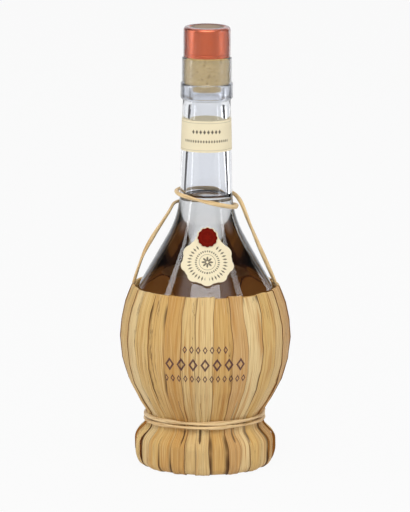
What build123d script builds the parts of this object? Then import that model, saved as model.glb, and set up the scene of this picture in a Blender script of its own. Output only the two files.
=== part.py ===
from build123d import *
from math import acos, asin, ceil, cos, hypot, pi, radians, sin, sqrt, tan
import os

# Straw covered round flask with a stopper under a clear film. Millimetres, Z up.
# The origin is the middle of the foot, on the surface that the flask stands on.
# The front, with the paper label, faces -Y.

# Driving sizes of the whole bottle
overall_height = 300.0
cap_height = 20.0
film_wall = 0.2
film_gap = 0.1
cutting_overrun = 20.0

# Glass flask
body_radius = 55.3
glass_bottom_height = 26.19
belly_radius = 63.0
belly_angle = 45.0
glass_wall = 3.6
shoulder_radius = 74.9
shoulder_angle = 29.5
neck_bend_radius = 64.0
neck_foot_radius = 17.75
neck_angle = 1.5
inner_neck_angle = 3.4
bore_radius = 10.0
bore_length = 28.0
finish_height = 29.0
upper_ring_radius = 16.4
upper_ring_height = 17.0
lower_ring_radius = 17.3
lower_ring_height = 9.5
groove_radius = 15.7
groove_width = 1.2
finish_rounding = 0.9
mouth_chamfer = 0.8

# Spirit in the flask
fill_height = 185.5
liquid_gap = 0.05

# Stopper
cork_clearance = 0.08
cork_length = 23.4
cork_chamfer = 0.8
spigot_radius = 4.0
spigot_length = 10.0
glue_gap = 0.04
cap_radius = 15.55
cap_wall = 0.5
cap_rounding = 2.0
cap_seat_gap = 0.1
film_opening_radius = 11.8
film_hem_gap = 0.3

# Papers and seal on the glass. The neck band's place and width are shares of the straight neck.
paper_wall = 0.2
paper_gap = 0.05
band_place = 0.4644
band_share = 0.335
label_height = 146.0
label_side_shift = 1.1
label_radius = 18.0
label_lobes = 9
label_lobe_radius = 5.2
label_disc_radius = 16.7
seal_offset = 16.1
seal_radius = 6.7
seal_lobes = 12
seal_lobe_radius = 1.5
seal_disc_radius = 6.2
seal_wall = 1.1
seal_border = 1.0

# Straw basket: sizes of its outer face, from the rim down
husk_wall = 0.35
husk_gap = 0.1
basket_standoff = 2.5
basket_rise = 2.0
upper_bend_radius = 86.0
rim_angle = 24.0
lower_bend_radius = 75.5
waist_angle = 34.0
rim_width = 3.6
rim_leg_length = 14.0
waist_radius = 39.3
waist_height = 9.0
waist_rounding = 5.0
foot_radius = 46.3
foot_angle = 43.0
foot_rounding = 10.0
sole_rounding = 6.0
sole_inner_radius = 28.5
tuck_height = 6.0
tuck_rounding = 3.0
husk_count = 30
husk_width = 13.2
husk_side_gap_angle = 0.6
hoop_gap = 0.05

# Coiled ring that the round glass bottom stands in
ring_gap = 0.1
ring_seat_gap = 0.2

# Winding at the waist, two turns of one strand
tie_diameter = 2.6
tie_pitch = 3.1
tie_gap = 0.1
tie_turns = 2
tie_rise = 1.0
tie_lift = 0.8
knot_width = 10.4
knot_ball_radius = 2.2
knot_bridge_radius = 1.8
knot_standoff = 1.5
knot_spread = 0.8
knot_gap = 0.4

# Carry cord: one strand from rim to rim with a full turn round the neck.
# The heights of its route are above the middle of the flask's body.
cord_diameter = 2.6
cord_bend_share = 0.45
cord_route = [
    (-48.6, 0.0, 38.4),
    (-45.4, -0.5, 50.2),
    (-40.4, -1.0, 62.6),
    (-34.0, -1.2, 73.6),
    (-28.4, -1.0, 82.0),
    (-24.9, 0.2, 87.4),
    (-22.9, 3.4, 91.0),
    (-20.9, 9.2, 92.8),
    (-8.7, 20.9, 92.6),
    (8.7, 20.9, 91.8),
    (20.9, 8.7, 91.0),
    (20.9, -8.7, 91.9),
    (8.5, -20.4, 95.8),
    (-8.3, -20.0, 99.6),
    (-20.0, -8.3, 101.2),
    (-20.0, 8.3, 101.9),
    (-8.3, 20.0, 101.8),
    (8.3, 20.2, 101.0),
    (18.3, 11.6, 99.2),
    (23.6, 3.0, 94.2),
    (26.4, -0.4, 87.2),
    (30.0, -1.2, 78.4),
    (35.6, -1.0, 65.4),
    (41.4, -0.6, 52.2),
    (47.4, 0.0, 38.4),
]

# Places worked out from the sizes above
cap_top = overall_height - film_wall - film_gap
cap_bottom = cap_top - cap_height
glass_top = cap_bottom - cap_seat_gap
finish_bottom = glass_top - finish_height
husk_stack = 2 * husk_wall + husk_gap
shoulder_centre_radius = body_radius - shoulder_radius
belly_centre_radius = body_radius - belly_radius
bottom_radius = belly_radius + belly_centre_radius / cos(radians(belly_angle))
bottom_centre_height = glass_bottom_height + bottom_radius
body_middle_height = bottom_centre_height - belly_centre_radius * tan(radians(belly_angle))
basket_radius = body_radius + basket_standoff
basket_middle_height = body_middle_height + basket_rise


def turned(*edges):
    """Solid of revolution from edges drawn with X as radius and Y as height."""
    return revolve(Plane.XZ * make_face(list(edges)), Axis.Z)


def neck_bend_centre():
    """Centre of the concave bend between shoulder and neck."""
    bend = neck_bend_radius
    low_radius = neck_foot_radius + bend * (cos(radians(neck_angle)) - cos(radians(shoulder_angle)))
    top_radius = shoulder_centre_radius + shoulder_radius * cos(radians(shoulder_angle))
    top_height = body_middle_height + shoulder_radius * sin(radians(shoulder_angle))
    run = (top_radius - low_radius) / sin(radians(shoulder_angle))
    low_height = top_height + run * cos(radians(shoulder_angle))
    centre = (
        low_radius + bend * cos(radians(shoulder_angle)),
        low_height + bend * sin(radians(shoulder_angle)),
    )
    return centre


def bend_point(wall, angle):
    """Point of the neck bend at an angle from the axis, under a wall of glass."""
    centre = neck_bend_centre()
    radius = neck_bend_radius + wall
    return (centre[0] - radius * cos(radians(angle)), centre[1] - radius * sin(radians(angle)))


def shoulder_point(wall):
    """Upper end of the convex shoulder, under a wall of glass."""
    radius = shoulder_radius - wall
    return (
        shoulder_centre_radius + radius * cos(radians(shoulder_angle)),
        body_middle_height + radius * sin(radians(shoulder_angle)),
    )


def lowest_point(wall):
    """Point on the axis at the bottom of the glass, under a wall of glass."""
    return (0, bottom_centre_height - bottom_radius + wall)


def body_edges(wall, end_angle):
    """Outline of the flask from its lowest point up to the end of the neck bend."""
    belly_centre = (belly_centre_radius, body_middle_height)
    shoulder_centre = (shoulder_centre_radius, body_middle_height)
    bend_turn = end_angle - shoulder_angle
    return [
        CenterArc((0, bottom_centre_height), bottom_radius - wall, -90, 90 - belly_angle),
        CenterArc(belly_centre, belly_radius - wall, -belly_angle, belly_angle),
        CenterArc(shoulder_centre, shoulder_radius - wall, 0, shoulder_angle),
        Line(shoulder_point(wall), bend_point(wall, shoulder_angle)),
        CenterArc(neck_bend_centre(), neck_bend_radius + wall, 180 + shoulder_angle, bend_turn),
    ]


def body_form(wall):
    """Solid inside the outer outline at a depth, with the neck carried up to the finish."""
    top = (neck_radius(finish_bottom) - wall, finish_bottom)
    points = [bend_point(wall, neck_angle), top, (0, finish_bottom), lowest_point(wall)]
    return turned(*body_edges(wall, neck_angle), Polyline(*points))


def neck_radius(height):
    """Outer radius of the neck at a height above the neck bend."""
    start = bend_point(0, neck_angle)
    return start[0] - (height - start[1]) * tan(radians(neck_angle))


def unit(a, b):
    """Direction from one point to the next, in the plane of an outline."""
    length = hypot(b[0] - a[0], b[1] - a[1])
    return ((b[0] - a[0]) / length, (b[1] - a[1]) / length)


def rounded_edges(corners, radii, offset=0):
    """Lines and arcs through rounded corners, all moved to the left by an offset."""
    first = unit(corners[0], corners[1])
    here = (corners[0][0] - offset * first[1], corners[0][1] + offset * first[0])
    edges = []
    for index, radius in enumerate(radii, start=1):
        a = unit(corners[index - 1], corners[index])
        b = unit(corners[index], corners[index + 1])
        side = 1 if a[0] * b[1] - a[1] * b[0] > 0 else -1
        facing = 1 + a[0] * b[0] + a[1] * b[1]
        corner = (
            corners[index][0] - offset * (a[1] + b[1]) / facing,
            corners[index][1] + offset * (a[0] + b[0]) / facing,
        )
        bend = radius - side * offset
        half_turn = acos(max(-1, min(1, facing - 1))) / 2
        reach = bend * tan(half_turn)
        start = (corner[0] - reach * a[0], corner[1] - reach * a[1])
        end = (corner[0] + reach * b[0], corner[1] + reach * b[1])
        centre = (start[0] - side * bend * a[1], start[1] + side * bend * a[0])
        away = unit(centre, corner)
        middle = (centre[0] + bend * away[0], centre[1] + bend * away[1])
        if hypot(start[0] - here[0], start[1] - here[1]) > husk_gap / 100:
            edges.append(Line(here, start))
        edges.append(ThreePointArc(start, middle, end))
        here = end
    last = unit(corners[-2], corners[-1])
    finish = (corners[-1][0] - offset * last[1], corners[-1][1] + offset * last[0])
    edges.append(Line(here, finish))
    return edges


def skin_edges(corners, radii, near, far):
    """Closed outline between two offsets of one rounded line."""
    inner = rounded_edges(corners, radii, near)
    outer = rounded_edges(corners, radii, far)
    return [
        *inner,
        *outer,
        Line(inner[0] @ 0, outer[0] @ 0),
        Line(inner[-1] @ 1, outer[-1] @ 1),
    ]


def finish_corners():
    """Outline of the mouth's rings from the neck up, and its small roundings."""
    lower_ring_top = finish_bottom + finish_height - upper_ring_height - groove_width
    lower_ring_bottom = lower_ring_top - lower_ring_height
    corners = [
        (neck_radius(finish_bottom), finish_bottom),
        (lower_ring_radius, lower_ring_bottom),
        (lower_ring_radius, lower_ring_top),
        (groove_radius, lower_ring_top + groove_width / 2),
        (upper_ring_radius, lower_ring_top + groove_width),
        (upper_ring_radius, glass_top),
        (bore_radius + mouth_chamfer, glass_top),
    ]
    radii = [finish_rounding, finish_rounding, groove_width / 4, groove_width / 4, finish_rounding]
    return corners, radii


def glass_flask():
    """Clear glass flask with a round bottom, a long neck and two rings at its mouth."""
    corners, radii = finish_corners()
    outside = turned(
        *body_edges(0, neck_angle),
        Line(bend_point(0, neck_angle), corners[0]),
        *rounded_edges(corners, radii),
        Polyline(corners[-1], (0, glass_top), lowest_point(0)),
    )
    return outside - cavity()


def cavity():
    """Space inside the glass, up to and through the mouth."""
    bend_end = bend_point(glass_wall, inner_neck_angle)
    bore_bottom = glass_top - bore_length
    cone_top = bore_bottom - bore_radius
    points = [
        bend_end,
        (bend_end[0] - (cone_top - bend_end[1]) * tan(radians(inner_neck_angle)), cone_top),
        (bore_radius, bore_bottom),
        (bore_radius, glass_top - mouth_chamfer),
        (bore_radius + mouth_chamfer, glass_top),
        (0, glass_top),
        lowest_point(glass_wall),
    ]
    return turned(*body_edges(glass_wall, inner_neck_angle), Polyline(*points))


def spirit_fill():
    """Clear spirit that fills the flask up to the lower neck."""
    wall = glass_wall + liquid_gap
    bend_end = bend_point(wall, inner_neck_angle)
    level_radius = bend_end[0] - (fill_height - bend_end[1]) * tan(radians(inner_neck_angle))
    points = [
        bend_end,
        (level_radius, fill_height),
        (0, fill_height),
        lowest_point(wall),
    ]
    return turned(*body_edges(wall, inner_neck_angle), Polyline(*points))


def stopper_shank():
    """Cork shank in the bore, with a hole for the head's spigot."""
    radius = bore_radius - cork_clearance
    bottom = cap_bottom - cork_length
    hole_bottom = cap_bottom - spigot_length - glue_gap
    return turned(
        Polyline(
            (0, bottom),
            (radius - cork_chamfer, bottom),
            (radius, bottom + cork_chamfer),
            (radius, cap_bottom),
            (spigot_radius + glue_gap, cap_bottom),
            (spigot_radius + glue_gap, hole_bottom),
            (0, hole_bottom),
            close=True,
        )
    )


def stopper_core():
    """Moulded head inside the metal cap, with a spigot glued into the cork."""
    radius = cap_radius - cap_wall - glue_gap
    top = cap_top - cap_wall - glue_gap
    rounding = cap_rounding - cap_wall
    corners = [(0, top), (radius, top), (radius, cap_bottom)]
    spigot_bottom = cap_bottom - spigot_length
    return turned(
        *rounded_edges(corners, [rounding]),
        Polyline(
            (radius, cap_bottom),
            (spigot_radius, cap_bottom),
            (spigot_radius, spigot_bottom),
            (0, spigot_bottom),
            (0, top),
        ),
    )


def cap_shell():
    """Drawn aluminium shell over the stopper's head."""
    corners = [(0, cap_top), (cap_radius, cap_top), (cap_radius, cap_bottom)]
    return turned(*skin_edges(corners, [cap_rounding], -cap_wall, 0))


def sleeve_crown():
    """Clear film over the cap, with its edge folded in on the top."""
    corners = [
        (film_opening_radius, cap_top),
        (cap_radius, cap_top),
        (cap_radius, cap_bottom + film_hem_gap),
    ]
    return turned(*skin_edges(corners, [cap_rounding], film_gap, film_gap + film_wall))


def sleeve_collar():
    """Clear film shrunk round the rings of the mouth, below the tear line."""
    corners, _ = finish_corners()
    straight = [
        corners[0],
        corners[1],
        corners[2],
        (upper_ring_radius, corners[4][1]),
        (upper_ring_radius, glass_top - finish_rounding),
    ]
    # Going up, the outside of the neck is on the right, so the offsets are negative
    bends = [finish_rounding] * 3
    return turned(*skin_edges(straight, bends, -film_gap, -film_gap - film_wall))


def neck_band():
    """Paper band glued round the straight part of the neck."""
    neck_foot = bend_point(0, neck_angle)[1]
    neck_length = finish_bottom - neck_foot
    low = neck_foot + band_place * neck_length
    high = low + band_share * neck_length
    near = paper_gap
    far = paper_gap + paper_wall
    return turned(
        Polyline(
            (neck_radius(low) + near, low),
            (neck_radius(low) + far, low),
            (neck_radius(high) + far, high),
            (neck_radius(high) + near, high),
            close=True,
        )
    )


def label_plane():
    """Plane on the front of the shoulder, square to the glass under the label."""
    start = shoulder_point(0)
    radius = start[0] - (label_height - start[1]) * tan(radians(shoulder_angle))
    return Plane(
        origin=(label_side_shift, -radius, label_height),
        x_dir=(1, 0, 0),
        z_dir=(0, -cos(radians(shoulder_angle)), sin(radians(shoulder_angle))),
    )


def scalloped(radius, lobes, lobe_radius, disc_radius):
    """Disc with round lobes along its edge."""
    disc = Sketch() + Circle(disc_radius)
    for place in PolarLocations(radius - lobe_radius, lobes, start_angle=-90):
        disc += place * Circle(lobe_radius)
    return disc


def on_shoulder(outline, near, far):
    """Outline laid on the shoulder, between two distances from the glass."""
    prism = extrude(label_plane() * outline, amount=cutting_overrun, both=True)
    return (body_form(-far) - body_form(-near)) & prism


def shield_label():
    """Scalloped paper label with a smaller scalloped border round the seal."""
    border = scalloped(
        seal_radius + seal_border, seal_lobes, seal_lobe_radius, seal_disc_radius + seal_border
    )
    outline = scalloped(label_radius, label_lobes, label_lobe_radius, label_disc_radius)
    outline += Pos(0, seal_offset) * border
    return on_shoulder(outline, paper_gap, paper_gap + paper_wall)


def wax_seal():
    """Red scalloped seal on the label's upper edge."""
    outline = Pos(0, seal_offset) * scalloped(
        seal_radius, seal_lobes, seal_lobe_radius, seal_disc_radius
    )
    near = 2 * paper_gap + paper_wall
    return on_shoulder(outline, near, near + seal_wall)


def basket_corners():
    """Corners and bends of the basket's outer face, from inside the rim to under the foot."""
    upper = radians(rim_angle)
    lower = radians(waist_angle)
    rim_reach = upper_bend_radius * tan(upper / 2)
    upper_corner = (basket_radius, basket_middle_height + rim_reach)
    rim_run = rim_reach + rim_width / 2
    rim_outer = (upper_corner[0] - rim_run * sin(upper), upper_corner[1] + rim_run * cos(upper))
    rim_inner = (rim_outer[0] - rim_width * cos(upper), rim_outer[1] - rim_width * sin(upper))
    leg_run = rim_leg_length + rim_width / 2
    leg_end = (rim_inner[0] + leg_run * sin(upper), rim_inner[1] - leg_run * cos(upper))
    lower_corner = (basket_radius, basket_middle_height - lower_bend_radius * tan(lower / 2))
    waist_top = (waist_radius, lower_corner[1] - (basket_radius - waist_radius) / tan(lower))
    waist_bottom = (waist_radius, waist_top[1] - waist_height)
    flare = (foot_radius - waist_radius) / tan(radians(foot_angle))
    corners = [
        leg_end,
        rim_inner,
        rim_outer,
        upper_corner,
        lower_corner,
        waist_top,
        waist_bottom,
        (foot_radius, waist_bottom[1] - flare),
        (foot_radius, 0),
        (sole_inner_radius, 0),
        (sole_inner_radius, tuck_height),
    ]
    radii = [
        rim_width / 2,
        rim_width / 2,
        upper_bend_radius,
        lower_bend_radius,
        waist_rounding,
        waist_rounding,
        foot_rounding,
        sole_rounding,
        tuck_rounding,
    ]
    return corners, radii


def husk_strip(layer):
    """One folded strip of straw husk: layer 0 lies outside, layer 1 under it."""
    corners, radii = basket_corners()
    outer = -layer * (husk_wall + husk_gap)
    section = make_face(skin_edges(corners, radii, outer - husk_wall, outer))
    wedge = 720 / husk_count - husk_side_gap_angle
    turned_section = revolve(Plane.XZ * section, Axis.Z, wedge)
    middled = turned_section.rotate(Axis.Z, -wedge / 2)
    slab = Box(2 * (basket_radius + cutting_overrun), husk_width, 2 * overall_height)
    return middled & slab


def rim_hoop():
    """Thin cane hoop inside the folded rim."""
    upper = radians(rim_angle)
    corners, _ = basket_corners()
    across = (corners[1][0] + corners[2][0]) / 2
    up = (corners[1][1] + corners[2][1]) / 2
    centre = (across + rim_width / 2 * sin(upper), up - rim_width / 2 * cos(upper))
    radius = rim_width / 2 - husk_stack - hoop_gap
    return Torus(centre[0], radius).moved(Location((0, 0, centre[1])))


def base_ring():
    """Coiled straw ring under the basket's foot that the round glass bottom stands in."""
    corners, radii = basket_corners()
    inset = -husk_stack - ring_gap
    outside = rounded_edges(corners[5:], radii[5:], inset)
    inner_radius = sole_inner_radius - inset
    glass_drop = sqrt(bottom_radius ** 2 - inner_radius ** 2)
    top = bottom_centre_height - glass_drop - ring_seat_gap
    closing = Polyline(
        outside[-1] @ 1, (inner_radius, top), (waist_radius + inset, top), outside[1] @ 0
    )
    return turned(*outside[1:], closing)


def biarc(start, start_way, end, end_way):
    """Two arcs from one point and direction to another, meeting smoothly."""
    span = end - start
    both = start_way + end_way
    spread = 2 * (1 - start_way.dot(end_way))
    dot = span.dot(both)
    reach = (-dot + sqrt(dot * dot + spread * span.dot(span))) / spread
    joint = (start + end + (start_way - end_way) * reach) * (1 / 2)
    first = TangentArc(start, joint, tangent=start_way)
    second = TangentArc(joint, end, tangent=first % 1)
    return [first, second]


def tie_centre():
    """Radius and middle height of the winding at the waist."""
    corners, _ = basket_corners()
    height = (corners[5][1] + corners[6][1]) / 2 + tie_lift
    return waist_radius + tie_gap + tie_diameter / 2, height


def tie_point(turn):
    """Point and direction of the winding after a number of turns from the back."""
    radius, middle = tie_centre()
    angle = 2 * pi * turn
    climb = tie_pitch / (2 * pi) + tie_rise * sin(angle) / 2
    height = middle + tie_pitch * (turn - tie_turns / 2) - tie_rise * cos(angle) / 2
    point = Vector(-radius * sin(angle), radius * cos(angle), height)
    way = Vector(-radius * cos(angle), -radius * sin(angle), climb).normalized()
    return point, way


def waist_tie():
    """Two turns of one strand, pulled tight at the waist, with straight ends at the knot."""
    radius, _ = tie_centre()
    half_knot = asin(knot_width / 2 / radius) / (2 * pi)
    quarters = 4 * tie_turns
    span = tie_turns - 2 * half_knot
    stations = [half_knot + span * step / quarters for step in range(quarters + 1)]
    places = [tie_point(turn) for turn in stations]
    edges = []
    for (start, start_way), (end, end_way) in zip(places, places[1:]):
        edges += biarc(start, start_way, end, end_way)
    first_point, first_way = places[0]
    last_point, last_way = places[-1]
    lead = Line(first_point - first_way * tie_diameter, first_point)
    tail = Line(last_point, last_point + last_way * tie_diameter)
    path = Wire([lead, *edges, tail])
    section = Plane(origin=lead @ 0, z_dir=first_way) * Circle(tie_diameter / 2)
    return sweep(section, path=path), path


def waist_tie_knot():
    """Knot at the back, where the two ends of the winding are bound together."""
    radius, _ = tie_centre()
    half_knot = asin(knot_width / 2 / radius) / (2 * pi)
    bridge_y = radius + tie_diameter / 2 + knot_gap + knot_bridge_radius
    pieces = []
    ball_heights = []
    for turn, side in ((half_knot, -1), (tie_turns - half_knot, 1)):
        point, way = tie_point(turn)
        end = point + way * (side * tie_diameter)
        pieces.append(Solid.make_cylinder(tie_diameter / 2, tie_diameter, Plane(end, z_dir=way * side)))
        height = end.Z + side * knot_spread
        pieces.append(Pos(0, radius + knot_standoff, height) * Sphere(knot_ball_radius))
        ball_heights.append(height)
    bridge_height = ball_heights[1] - ball_heights[0]
    bridge = Cylinder(knot_bridge_radius, bridge_height, align=(Align.CENTER, Align.CENTER, Align.MIN))
    knot = Pos(0, bridge_y, ball_heights[0]) * bridge
    for piece in pieces:
        knot += piece
    return knot


def cord_points():
    """Route of the carry cord, set to the height of the flask's body."""
    return [Vector(x, y, body_middle_height + height) for x, y, height in cord_route]


def cord_bends():
    """Radius of each bend of the carry cord, as large as its two runs allow."""
    points = cord_points()
    bends = []
    for before, here, after in zip(points, points[1:], points[2:]):
        first = here - before
        second = after - here
        half_turn = radians(first.get_angle(second)) / 2
        bends.append(cord_bend_share * min(first.length, second.length) / tan(half_turn))
    return bends


def carry_cord():
    """Straw cord from the rim round the neck and back to the rim."""
    bends = cord_bends()
    path = FilletPolyline(*cord_points(), radius=bends)
    section = Plane(origin=path @ 0, z_dir=path % 0) * Circle(cord_diameter / 2)
    return sweep(section, path=path), path, bends


def least_gap(path, diameter, lead, count=400):
    """Least distance between turns of one tube, measured on points along its line."""
    points = [path.position_at(step / count) for step in range(count + 1)]
    step_length = path.length / count
    apart = ceil(lead / step_length)
    best = overall_height
    for index, point in enumerate(points):
        for other in points[index + apart:]:
            best = min(best, (other - point).length)
    return best - diameter


def save(name, shape):
    """Write one piece to its own file."""
    export_step(shape, f"parts/{name}.step")


def main():
    os.makedirs("parts", exist_ok=True)
    for piece in (
        glass_flask,
        spirit_fill,
        stopper_shank,
        stopper_core,
        cap_shell,
        sleeve_crown,
        sleeve_collar,
        neck_band,
        shield_label,
        wax_seal,
        rim_hoop,
        base_ring,
        waist_tie_knot,
    ):
        save(piece.__name__, piece())
    layers = [husk_strip(0), husk_strip(1)]
    for index in range(husk_count):
        turned_strip = layers[index % 2].rotate(Axis.Z, 360 * index / husk_count - 90)
        save(f"husk_strip_{index + 1:02d}", turned_strip)
    tie, tie_path = waist_tie()
    save("waist_tie", tie)
    radius, _ = tie_centre()
    print("waist tie: least gap between turns", round(least_gap(tie_path, tie_diameter, radius), 2))
    cord, cord_path, bends = carry_cord()
    save("carry_cord", cord)
    print("carry cord: bend radii", [round(bend, 1) for bend in bends])
    print("carry cord: length", round(cord_path.length, 1), "volume", round(cord.volume, 1))
    print("carry cord: section times length", round(pi * cord_diameter ** 2 / 4 * cord_path.length, 1))
    print("spirit volume in millilitres", round(spirit_fill().volume / 1000, 1))


main()
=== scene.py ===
import random
from functools import partial
from math import atan2, cos, dist, pi, radians, sin, tan
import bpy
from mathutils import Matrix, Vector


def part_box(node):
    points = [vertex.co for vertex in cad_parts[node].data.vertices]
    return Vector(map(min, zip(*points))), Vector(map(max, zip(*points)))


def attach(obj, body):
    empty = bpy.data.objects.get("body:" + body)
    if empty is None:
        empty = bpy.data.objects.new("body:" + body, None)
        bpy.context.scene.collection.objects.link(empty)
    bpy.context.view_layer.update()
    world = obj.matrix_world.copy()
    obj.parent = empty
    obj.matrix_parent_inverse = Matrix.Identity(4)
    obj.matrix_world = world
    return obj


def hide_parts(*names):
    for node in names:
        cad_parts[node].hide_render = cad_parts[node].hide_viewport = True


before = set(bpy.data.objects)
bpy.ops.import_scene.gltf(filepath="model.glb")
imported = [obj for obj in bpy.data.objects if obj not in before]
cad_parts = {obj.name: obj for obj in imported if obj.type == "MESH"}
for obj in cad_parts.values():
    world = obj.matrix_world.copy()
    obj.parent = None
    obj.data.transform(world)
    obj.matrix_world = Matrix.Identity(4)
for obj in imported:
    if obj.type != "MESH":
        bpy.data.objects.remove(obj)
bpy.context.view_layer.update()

from types import SimpleNamespace

import bpy
from mathutils import Quaternion, Vector, noise

bl_info = {
    "name": "Straw covered round flask",
    "version": (1, 0, 0),
    "blender": (4, 5, 0),
    "location": "3D View > Sidebar > Flask",
    "description": "Dresses a packed glass flask with its straw basket, cord, papers and stopper",
    "category": "Object",
}

MM = 0.001
SLOPE = radians(29.5)  # of the shoulder under the label and the seal
NECK_SLOPE = radians(1.5)  # of each side of the neck, which narrows upwards
CAP_TOP = 299.7  # millimetres
WAIST = 33.8 * MM  # height of the tie's middle
HUSKS = 30
FIRST_SEED = 700  # of the first husk's random draws
SMOOTH = {"interpolation_type": "SMOOTHSTEP"}

# Route of the carry cord in metres, from the rim round the neck and back to the rim
CORD_ROUTE = [
    (-0.0486, 0.0, 0.1244), (-0.0454, -0.0005, 0.1362), (-0.0404, -0.0010, 0.1486),
    (-0.0340, -0.0012, 0.1596), (-0.0284, -0.0010, 0.1680), (-0.0249, 0.0002, 0.1734),
    (-0.0229, 0.0034, 0.1770), (-0.0209, 0.0092, 0.1788), (-0.0087, 0.0209, 0.1786),
    (0.0087, 0.0209, 0.1778), (0.0209, 0.0087, 0.1770), (0.0209, -0.0087, 0.1779),
    (0.0085, -0.0204, 0.1818), (-0.0083, -0.0200, 0.1856), (-0.0200, -0.0083, 0.1872),
    (-0.0200, 0.0083, 0.1879), (-0.0083, 0.0200, 0.1878), (0.0083, 0.0202, 0.1870),
    (0.0183, 0.0116, 0.1852), (0.0236, 0.0030, 0.1802), (0.0264, -0.0004, 0.1732),
    (0.0300, -0.0012, 0.1644), (0.0356, -0.0010, 0.1514), (0.0414, -0.0006, 0.1382),
    (0.0474, 0.0, 0.1244),
]


def linear(hex_colour):
    """An sRGB hex colour as linear red, green, blue and alpha."""
    channels = [int(hex_colour[place:place + 2], 16) / 255 for place in (1, 3, 5)]
    return tuple(c / 12.92 if c <= 0.04045 else ((c + 0.055) / 1.055) ** 2.4 for c in channels) + (1.0,)


def length(name, description, default):
    """A length in metres that a user can change."""
    return bpy.props.FloatProperty(
        name=name, description=description, default=default, min=0.0, unit="LENGTH", precision=5
    )


def colour(name, description, default):
    """A colour that a user can change, given as sRGB hex."""
    start = linear(default)
    return bpy.props.FloatVectorProperty(
        name=name, description=description, default=start, size=4, min=0.0, max=1.0, subtype="COLOR"
    )


class FlaskSizes(bpy.types.PropertyGroup):
    """Sizes of the flask and its dress, in metres."""

    body_middle: length("Body middle height", "Height of the widest place of the glass", 0.0860)
    glass_wall: length("Glass wall", "Wall of the round body and the neck", 0.0036)
    fill_height: length("Fill height", "Height of the spirit's surface", 0.1855)
    meniscus: length("Meniscus", "Height that the spirit climbs at the wall", 0.0012)
    cap_radius: length("Cap radius", "Outer radius of the metal cap", 0.01555)
    cap_wall: length("Cap wall", "Thickness of the cap's sheet", 0.0005)
    band_bottom: length("Band bottom", "Height of the neck band's lower edge", 0.2167)
    band_width: length("Band width", "Height of the paper band", 0.0212)
    husk_wall: length("Husk thickness", "Thickness of one strip of straw husk", 0.00035)
    husk_ripple: length("Husk ripple", "Depth of the pleats where the husks are gathered", 0.0012)
    husk_lift: length("Husk edge lift", "How far a dry husk's edge curls up", 0.0011)
    strand_width: length("Strand width", "Width of one twisted straw strand", 0.0029)
    strand_thickness: length("Strand thickness", "Thickness of one twisted straw strand", 0.0019)
    camera_distance: length("Camera distance", "From the lens to the flask", 3.5)
    camera_aim: length("Camera aim height", "Height that the camera looks at", 0.1430)


class FlaskColours(bpy.types.PropertyGroup):
    """Colours of the flask's finishes."""

    glass: colour("Glass", "Clear glass", "#EFF1F5")
    spirit: colour("Spirit", "Clear spirit", "#FCFAF4")
    cork: colour("Cork", "Pressed cork", "#F0D292")
    cork_fleck: colour("Cork flecks", "Bark flecks in the cork", "#B08040")
    copper: colour("Cap", "Copper coloured anodised aluminium", "#F47846")
    paper: colour("Paper", "Uncoated cream label paper", "#E3D6B4")
    ink: colour("Ink", "Brown black printing ink", "#2C1E16")
    seal: colour("Seal", "Embossed red seal", "#680C02")
    straw: colour("Straw", "Dried husk", "#CDAA6A")
    straw_light: colour("Pale straw", "Sun bleached husk", "#DAC08C")
    straw_amber: colour("Amber straw", "Riper husk", "#B27B36")
    straw_inside: colour("Straw inside", "Light that comes through the thin husks", "#84521E")
    # Brown of torn and split husks, also laid on as painted shade in the splits, along the husks' edges and
    # in the grooves of the coiled straw
    straw_dark_and_shade: colour("Straw edges", "Brown in the creases and at torn edges", "#5A3414")
    print: colour("Print on straw", "Printed ornament on the husks", "#4A2630")
    raffia: colour("Raffia", "Twisted straw strand", "#E0C290")
    raffia_dark: colour("Raffia shade", "Between the fibres", "#A67C42")
    floor: colour("Floor", "Pale studio floor", "#F4F4F4")


# Small tools for meshes

def deselect_all():
    """Leave edit mode and select nothing."""
    if bpy.context.object and bpy.context.object.mode != "OBJECT":
        bpy.ops.object.mode_set(mode="OBJECT")
    bpy.ops.object.select_all(action="DESELECT")


def arc(centre, radius, start, end, steps):
    """Points of an arc in the outline plane, from one angle to another in degrees."""
    angles = [radians(start + (end - start) * step / steps) for step in range(steps + 1)]
    return [(centre[0] + radius * cos(a), centre[1] + radius * sin(a)) for a in angles]


def rounded(corners, radii, step_angle=6.0):
    """Points in metres along straight lines given in millimetres, with an arc at each inner corner."""
    points = [corners[0]]
    for before, here, after, radius in zip(corners, corners[1:], corners[2:], radii):
        here = Vector(here)
        first = (Vector(before) - here).normalized()
        second = (Vector(after) - here).normalized()
        half = first.angle(second) / 2
        turn = pi - 2 * half
        middle = (first + second).normalized()
        centre = here + middle * (radius / sin(half))
        start = here + first * (radius / tan(half)) - centre
        end = here + second * (radius / tan(half)) - centre
        start_angle = atan2(start[1], start[0])
        swing = (atan2(end[1], end[0]) - start_angle + pi) % (2 * pi) - pi
        steps = max(2, int(abs(turn) / radians(step_angle)) + 1)
        for step in range(steps + 1):
            angle = start_angle + swing * step / steps
            points.append((centre[0] + radius * cos(angle), centre[1] + radius * sin(angle)))
    points.append(corners[-1])
    return [(r * MM, z * MM) for r, z in points]


def divided(points, longest):
    """The same line with its long runs divided evenly."""
    result = [points[0]]
    for start, end in zip(points, points[1:]):
        run = dist(start, end)
        if run < 1e-7:
            continue
        parts = max(1, int(run / longest) + 1)
        for part in range(1, parts + 1):
            share = part / parts
            result.append((start[0] + (end[0] - start[0]) * share, start[1] + (end[1] - start[1]) * share))
    return result


def running_lengths(points):
    """Length of a line up to each of its points."""
    lengths = [0.0]
    for before, after in zip(points, points[1:]):
        lengths.append(lengths[-1] + dist(before, after))
    return lengths


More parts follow.
